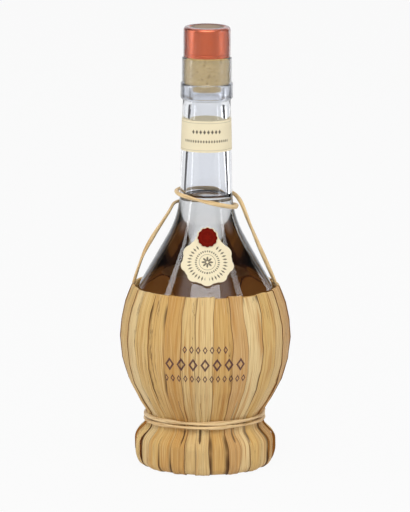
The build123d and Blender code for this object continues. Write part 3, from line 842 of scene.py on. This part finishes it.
def strand(name, path, width, thickness, seed, sides=22, step=0.7 * MM, turns=2.5):
    """A flattened, twisted bundle of straw fibres along a line, closed at both ends, and its length."""
    places, total = even_path(path, step)
    rows = len(places)
    faces = []
    for low in range(0, (rows - 1) * sides, sides):
        for corner in range(sides):
            following = (corner + 1) % sides
            faces.append((low + corner, low + following, low + sides + following, low + sides + corner))
    faces.append(tuple(reversed(range(sides))))
    faces.append(tuple(range((rows - 1) * sides, rows * sides)))
    mesh = bpy.data.meshes.new(name)
    mesh.from_pydata(strand_rings(places, total, width, thickness, seed, sides, turns), [], faces)
    # U is the share round the strand, V is metres along it
    uv = mesh.uv_layers.new(name="UVMap").data
    for polygon in mesh.polygons:
        corners = [vertex % sides for vertex in polygon.vertices]
        closing = len(corners) == 4 and sides - 1 in corners
        for loop in polygon.loop_indices:
            row, corner = divmod(mesh.loops[loop].vertex_index, sides)
            turn = 1.0 if closing and corner == 0 else corner / sides
            uv[loop].uv = (turn, total * row / (rows - 1))
    piece = bpy.data.objects.new(name, mesh)
    bpy.context.collection.objects.link(piece)
    deselect_all()
    piece.select_set(True)
    bpy.context.view_layer.objects.active = piece
    bpy.ops.object.mode_set(mode="EDIT")
    bpy.ops.mesh.select_all(action="SELECT")
    bpy.ops.mesh.normals_make_consistent(inside=False)
    bpy.ops.object.mode_set(mode="OBJECT")
    bpy.ops.object.shade_smooth()
    return piece, total


# Operators

class Step:
    """What the operators share: each makes its part from the sizes and the colours."""

    def execute(self, context):
        self.make(context.scene.flask_sizes, context.scene.flask_colours)
        return {"FINISHED"}


class StageOperator(Step, bpy.types.Operator):
    """Set the camera, the soft studio lights, the pale floor, the felt panels and the surround."""

    bl_idname = "flask.stage"
    bl_label = "Stage"

    def make(self, sizes, colours):
        scene = bpy.context.scene
        scene.view_settings.view_transform = "Standard"
        aim = Vector((-0.0005, 0.0, sizes.camera_aim))
        rise = radians(10.8)
        camera_data = bpy.data.cameras.new("camera")
        camera_data.sensor_fit = "VERTICAL"
        camera_data.sensor_height = 36.0
        camera_data.lens = 363.7
        camera = bpy.data.objects.new("camera", camera_data)
        camera.location = aim + Vector((0.0, -cos(rise), sin(rise))) * sizes.camera_distance
        facing = (aim - camera.location).to_track_quat("-Z", "Y")
        # The photograph leans by a third of a degree
        camera.rotation_euler = (facing @ Quaternion((0, 0, 1), radians(0.35))).to_euler()
        scene.collection.objects.link(camera)
        scene.camera = camera
        for name, place, size, power in (
            ("softbox_front", (0.0, -1.5, 2.0), (2.0, 1.4), 42.0),
            ("strip_left", (-1.5, -0.25, 0.6), (0.3, 1.4), 6.5),
            ("strip_right", (1.45, -0.45, 0.6), (0.3, 1.4), 4.5),
            ("strip_behind", (1.0, 1.35, 0.6), (0.3, 1.4), 4.5),
        ):
            lamp = bpy.data.lights.new(name, "AREA")
            lamp.shape = "RECTANGLE"
            lamp.size, lamp.size_y = size
            lamp.energy = power
            light = bpy.data.objects.new(name, lamp)
            light.location = place
            way = Vector((0, 0, 0.15)) - Vector(place)
            light.rotation_euler = way.to_track_quat("-Z", "Y").to_euler()
            # The lamps themselves don't show in the shoulder of the glass
            light.visible_glossy = False
            scene.collection.objects.link(light)
        self.plane("floor", new_material("floor_matt_paper", matt_floor, colours), (0, 0, 0), 0, size=14.0)
        self.felt_panels()
        self.surround(scene)

    def plane(self, name, material, place, lean, turn=0.0, scale=(1.0, 1.0, 1.0), size=1.0):
        """A plane of the stage, turned round X by its lean and then round Z."""
        deselect_all()
        bpy.ops.mesh.primitive_plane_add(size=size, location=place, rotation=(lean, 0, turn))
        plane = bpy.context.object
        plane.name = name
        plane.scale = scale
        bpy.ops.object.transform_apply(location=True, rotation=True, scale=True)
        plane.data.materials.append(material)
        return plane

    def felt_panels(self):
        """Panels seen only in glass and metal: two dark ones behind, and a grey one in front."""
        black = new_material("wool_felt_black", felt, "#141416", "#26262A")
        grey = new_material("wool_felt_grey", felt, "#5E5E62", "#707074", "#6A6A6E", 1.2)
        panels = []
        for name, turn in (("felt_left", -radians(53)), ("felt_right", radians(53))):
            place = (1.2 * sin(turn), 1.2 * cos(turn), 0.7)
            panels.append(self.plane(name, black, place, pi / 2, -turn, (0.42, 1.4, 1.0)))
        front = self.plane("felt_front", grey, (0.05, -1.0, 0.3), pi / 2, 0.0, (1.5, 0.6, 1.0))
        front.visible_transmission = False
        for panel in (*panels, front):
            panel.visible_camera = False
            panel.visible_diffuse = False
            panel.visible_shadow = False

    def surround(self, scene):
        """A white surround with a dark strip on each side, which draws the edges of the glass."""
        world = bpy.data.worlds.new("studio_surround")
        scene.world = world
        world.use_nodes = True
        world.node_tree.nodes.clear()
        add = partial(add_node, world.node_tree)
        direction = add("TexCoord").outputs["Generated"]
        ramp = add("ValToRGB", add("ABSOLUTE", add("SeparateXYZ", direction)))
        ramp.color_ramp.interpolation = "EASE"
        ramp.color_ramp.elements[0].color = linear("#F9F9FB")
        ramp.color_ramp.elements[1].position = 0.97
        ramp.color_ramp.elements[1].color = linear("#F2F2F4")
        for position, tone in ((0.54, "#E6E6EA"), (0.70, "#34343A"), (0.88, "#34343A")):
            ramp.color_ramp.elements.new(position).color = linear(tone)
        rays = add("LightPath").outputs
        mirrored = add("MAXIMUM", rays["Is Glossy Ray"], rays["Is Transmission Ray"])
        tone = layered(add, "#A6A8AC", (mirrored, ramp), (rays["Is Camera Ray"], "#F9F9FB"))
        add("OutputWorld", add("Background", tone, 1.0))


class CordOperator(Step, bpy.types.Operator):
    """Lay the carry cord from rim to rim with a full turn round the neck."""

    bl_idname = "flask.cord"
    bl_label = "Carry cord"

    def make(self, sizes, colours):
        path = route_curve("cord_route", CORD_ROUTE)
        width, thickness = sizes.strand_width, sizes.strand_thickness
        cord, total = strand("carry_strand", path, width, thickness, 3.0, turns=3.5)
        material = new_material("raffia_twisted_cord", raffia, colours)
        finish_piece(cord, material, "straw_cord", "flask", "carry_cord")


class GlassOperator(Step, bpy.types.Operator):
    """Turn the glass flask and the spirit in it."""

    bl_idname = "flask.glass"
    bl_label = "Glass and spirit"

    def make(self, sizes, colours):
        wall = sizes.glass_wall
        middle = sizes.body_middle
        outside = body_outline(0.0, middle) + finish_outline()
        inside = body_outline(wall, middle)
        bore = [(10.0 * MM, 278.8 * MM), (10.0 * MM, 251.6 * MM), (10.89 * MM, 241.6 * MM)]
        flask = lathe("flask_glass", divided(outside + bore + inside[::-1], 6 * MM), 128)
        material = new_material("soda_lime_glass_blown", soda_lime_glass, colours)
        finish_piece(flask, material, "clear_glass", "flask", "glass_flask")
        # The spirit reaches 0.1 mm into the glass, so no film of air shows between them
        wet = [p for p in body_outline(wall - 0.1 * MM, middle) if p[1] < sizes.fill_height - 0.6 * MM]
        edge = wet[-1][0]
        # Its surface climbs the wall: millimetres from the wall, and the share of the full climb there
        for inwards, climb in ((0.0, 1.0), (0.5, 0.5), (1.6, 0.1), (3.4, 0.0)):
            wet.append((edge - inwards * MM, sizes.fill_height + climb * sizes.meniscus))
        spirit = lathe("spirit_body", wet + [(0.0, sizes.fill_height)], 96)
        material = new_material("grain_spirit_clear", clear_spirit, colours)
        finish_piece(spirit, material, "clear_spirit", "flask", "spirit_fill")


class StopperOperator(Step, bpy.types.Operator):
    """Turn the metal cap and the cork, and give the head and the films their finishes."""

    bl_idname = "flask.stopper"
    bl_label = "Stopper"

    def make(self, sizes, colours):
        radius = sizes.cap_radius / MM
        inner = radius - sizes.cap_wall / MM
        under = CAP_TOP - sizes.cap_wall / MM
        # Millimetres: the skirt with a groove rolled in near its edge, and the top
        groove = radius - 0.22
        corners = [(inner, 279.7), (radius, 279.7), (radius, 281.6), (groove, 281.8), (groove, 282.2)]
        corners += [(radius, 282.4), (radius, CAP_TOP), (0.0, CAP_TOP)]
        outside = rounded(corners, [0.2, 0.1, 0.1, 0.1, 0.1, 2.0], 10.0)
        inside = rounded([(0.0, under), (inner, under), (inner, 279.7)], [1.5], 15.0)
        cap = lathe("cap_cup", divided(outside, 2 * MM) + inside, 128)
        bpy.ops.object.shade_smooth_by_angle(angle=radians(40))
        material = new_material("aluminium_drawn_anodised", anodised_cap, colours)
        finish_piece(cap, material, "copper_anodised", "stopper", "cap_shell")
        # The cork is squeezed into the bore, so the glass magnifies it without a film of air between
        low, high = (corner[2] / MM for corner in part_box("stopper_shank"))
        corners = [(0.0, low), (9.6, low), (10.04, low + 3.5), (10.04, high), (0.0, high)]
        cork = lathe("cork_plug", rounded(corners, [1.0, 2.0, 0.4]), 96)
        material = new_material("pressed_cork_ground", pressed_cork, colours)
        finish_piece(cork, material, "natural_cork", "stopper", "stopper_shank")
        dress_node("stopper_core", new_material("polyethylene_moulded", moulded_head, colours))
        film = new_material("shrink_film_clear", shrink_film, colours)
        dress_node("sleeve_crown", film)
        dress_node("sleeve_collar", film)


class PapersOperator(Step, bpy.types.Operator):
    """Roll the neck band, and finish the shield label and its seal."""

    bl_idname = "flask.papers"
    bl_label = "Papers and seal"

    def make(self, sizes, colours):
        rows = 8
        heights = [sizes.band_bottom + sizes.band_width * row / rows for row in range(rows + 1)]
        # The paper is 0.2 mm thick on 0.05 mm of glue
        outer = [(neck_radius(height) + 0.25 * MM, height) for height in heights]
        inner = [(neck_radius(height) + 0.05 * MM, height) for height in heights]
        band = lathe("neck_paper", outer + inner[::-1] + [outer[0]], 128)
        bpy.ops.object.shade_smooth_by_angle(angle=radians(40))
        material = new_material("label_paper_printed_band", band_paper, colours, sizes.band_bottom)
        finish_piece(band, material, "cream_paper", "flask", "neck_band")
        band.data.materials.append(new_material("label_paper_glued_side", paper_back, colours))
        for face in band.data.polygons:
            outwards = face.normal[0] * face.center[0] + face.normal[1] * face.center[1]
            face.material_index = 1 if outwards < 0 else 0
        dress_node("shield_label", new_material("label_paper_printed_shield", label_paper, colours))
        dress_node("wax_seal", new_material("sealing_wax_pressed", embossed_seal, colours))


class HusksOperator(Step, bpy.types.Operator):
    """Lay the straw husks over the basket, and finish the rings under them."""

    bl_idname = "flask.husks"
    bl_label = "Straw husks"

    def make(self, sizes, colours):
        outer = new_material("straw_husk_dried", dried_husk, colours)
        inner = new_material("straw_husk_inner_face", husk_inside, colours)
        outline = basket_outline()
        for index in range(HUSKS):
            leaf = husk(index, sizes, outline, (outer, inner))
            finish_piece(leaf, None, "straw_husk", "flask", f"husk_strip_{index + 1:02d}")
        dress_node("base_ring", new_material("straw_coiled_base", coiled_straw, colours, 2.6 * MM))
        dress_node("rim_hoop", new_material("cane_split_hoop", coiled_straw, colours, 1.2 * MM))


class TieOperator(Step, bpy.types.Operator):
    """Wind the waist tie twice, and knot it at the back."""

    bl_idname = "flask.tie"
    bl_label = "Waist tie"

    def make(self, sizes, colours):
        material = new_material("raffia_twisted_tie", raffia, colours)
        points = []
        per_turn = 20
        for step in range(2 * per_turn + 1):
            turn = step / per_turn
            angle = 2 * pi * turn
            reach = 40.7 * MM + 0.25 * MM * noise.noise(Vector((turn * 4, 2, 0)))
            climb = 3.1 * (turn - 1) - 0.5 * cos(angle) + 0.5 * noise.noise(Vector((turn * 3, 9, 0)))
            points.append((-reach * sin(angle), reach * cos(angle), WAIST + climb * MM))
        path = route_curve("tie_route", points)
        thickness = sizes.strand_thickness * 0.95
        tie, _ = strand("tie_strand", path, sizes.strand_width, thickness, 8.0, turns=5.0)
        finish_piece(tie, material, "straw_cord", "flask", "waist_tie")
        # A trefoil knot, open by 7% of a turn where its ends go in
        loop = []
        for step in range(25):
            angle = 2 * pi * step / 24 * 0.93 + 0.2
            across = (sin(angle) + 1.5 * sin(2 * angle)) * 1.5 * MM
            up = (cos(angle) - 1.5 * cos(2 * angle)) * 1.5 * MM
            loop.append((across, 42.9 * MM + sin(3 * angle) * MM, WAIST + up))
        path = route_curve("knot_route", loop)
        knot, _ = strand("tie_knot", path, 2.3 * MM, 1.7 * MM, 15.0, sides=16, step=0.4 * MM, turns=1.0)
        finish_piece(knot, material, "straw_cord", "flask", "waist_tie_knot")


OPERATORS = (StageOperator, CordOperator, GlassOperator, StopperOperator, PapersOperator)
OPERATORS += (HusksOperator, TieOperator)


class FlaskPanel(bpy.types.Panel):
    """Sizes, colours and steps of the flask."""

    bl_idname = "VIEW3D_PT_flask"
    bl_label = "Straw covered flask"
    bl_space_type = "VIEW_3D"
    bl_region_type = "UI"
    bl_category = "Flask"

    def draw(self, context):
        layout = self.layout
        for operator in OPERATORS:
            layout.operator(operator.bl_idname)
        for group in (context.scene.flask_sizes, context.scene.flask_colours):
            box = layout.box()
            for name in group.__annotations__:
                box.prop(group, name)


CLASSES = (FlaskSizes, FlaskColours, *OPERATORS, FlaskPanel)


def register():
    """Register the classes and put the sizes and colours on the scene."""
    for each in CLASSES:
        bpy.utils.register_class(each)
    bpy.types.Scene.flask_sizes = bpy.props.PointerProperty(type=FlaskSizes)
    bpy.types.Scene.flask_colours = bpy.props.PointerProperty(type=FlaskColours)


def unregister():
    """Take the sizes, the colours and the classes away again."""
    del bpy.types.Scene.flask_sizes
    del bpy.types.Scene.flask_colours
    for each in reversed(CLASSES):
        bpy.utils.unregister_class(each)


def main():
    """Make the stage and every piece."""
    register()
    bpy.ops.flask.stage()
    bpy.ops.flask.cord()
    bpy.ops.flask.glass()
    bpy.ops.flask.stopper()
    bpy.ops.flask.papers()
    bpy.ops.flask.husks()
    bpy.ops.flask.tie()


if __name__ == "__main__":
    main()
